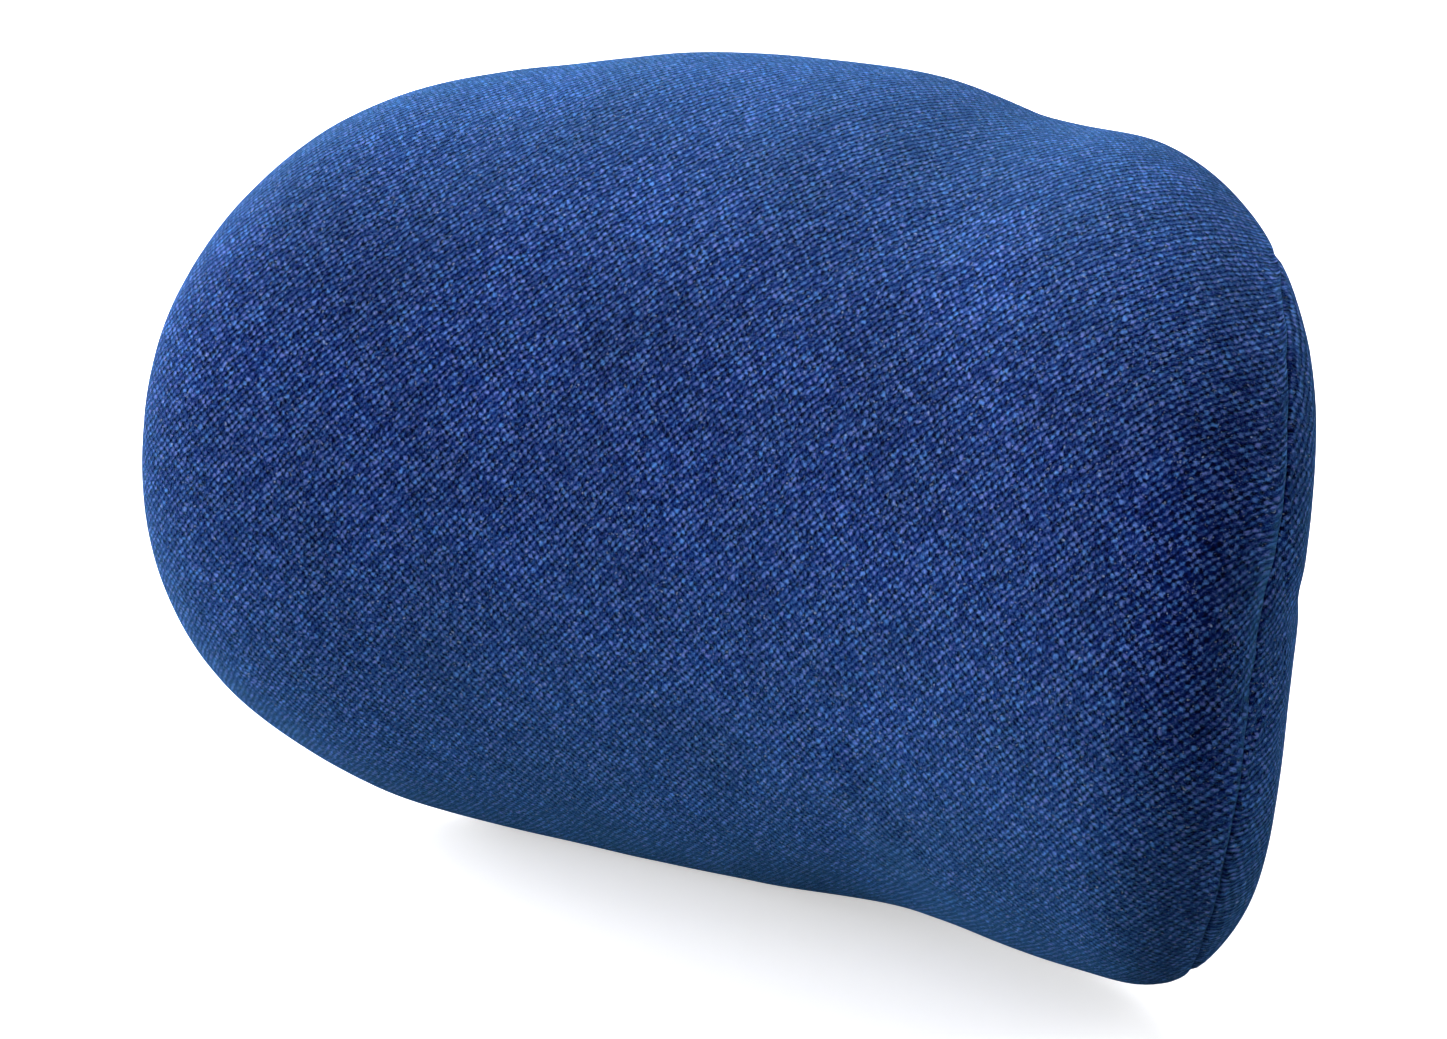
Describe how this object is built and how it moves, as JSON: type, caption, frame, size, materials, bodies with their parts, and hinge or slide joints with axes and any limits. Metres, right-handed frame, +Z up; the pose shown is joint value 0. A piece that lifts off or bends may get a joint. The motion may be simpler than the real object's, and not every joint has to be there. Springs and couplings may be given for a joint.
{
  "type": "chair headrest attachment",
  "caption": "Crowned fabric headrest cushion on a friction tilt hinge, carried by a height-adjustable mast in a clamped guide that bolts to a chair's back post.",
  "frame": {"origin": "centre of the four chair bolt holes on the rear face of the mounting plate", "axes": "+X to the right of a viewer in front, +Y backwards into the chair's back post, +Z up; the head rests on the -Y side"},
  "size_m": [0.3, 0.1756, 0.194],
  "materials": {
    "cover_fabric": "matte",
    "foam": "matte",
    "plywood": "satin",
    "black_plastic": "matte",
    "knob_plastic": "satin",
    "grey_plastic": "satin",
    "glide_plastic": "satin",
    "brake_rubber": "matte",
    "painted_steel": "satin",
    "mast_steel": "satin",
    "zinc_steel": "satin",
    "spring_steel": "satin",
    "cast_aluminium": "satin",
    "brass_insert": "satin",
    "zip_tape": "matte",
    "zip_metal": "satin"
  },
  "bodies": {
    "chair_bracket": {"mounting_plate": "painted_steel", "guide_screws": "zinc_steel", "guide_housing": "black_plastic", "guide_cover": "black_plastic", "cover_screws": "zinc_steel", "glide_liner": "glide_plastic", "brake_liner": "brake_rubber", "stop_pin": "zinc_steel", "clamp_insert": "brass_insert"},
    "clamp_knob": {"knob_stud": "zinc_steel", "knob_grip": "knob_plastic", "knob_cap": "grey_plastic"},
    "mast": {"mast_bar": "mast_steel", "mast_end_cap": "black_plastic", "hinge_yoke": "cast_aluminium", "yoke_screws": "zinc_steel", "yoke_cover": "black_plastic", "hinge_bolt": "zinc_steel", "bolt_washers": "zinc_steel", "disc_springs": "spring_steel", "hinge_nut": "zinc_steel", "hinge_cap_left": "black_plastic", "hinge_cap_right": "black_plastic"},
    "cushion": {"hinge_knuckle": "painted_steel", "knuckle_bush": "glide_plastic", "friction_washers": "glide_plastic", "knuckle_screws": "zinc_steel", "tee_nuts": "zinc_steel", "pad_board": "plywood", "foam_core": "foam", "front_cover": "cover_fabric", "back_cover": "cover_fabric", "side_cover_left": "cover_fabric", "side_cover_right": "cover_fabric", "cover_zip": "zip_tape", "zip_slider": "zip_metal", "opening_bezel": "black_plastic"}
  },
  "joints": [
    {"name": "height_slide", "type": "slide", "parent": "chair_bracket", "child": "mast", "axis": [0, 0, 1], "range_m": [0, 0.05]},
    {"name": "pad_tilt", "type": "hinge", "parent": "mast", "child": "cushion", "pos_m": [0, -0.042, 0.062], "axis": [1, 0, 0], "range_deg": [-15, 25]},
    {"name": "clamp_knob_turn", "type": "hinge", "parent": "chair_bracket", "child": "clamp_knob", "pos_m": [-0.03, -0.02, -0.008], "axis": [-1, 0, 0], "range_deg": [0, 180]}
  ]
}
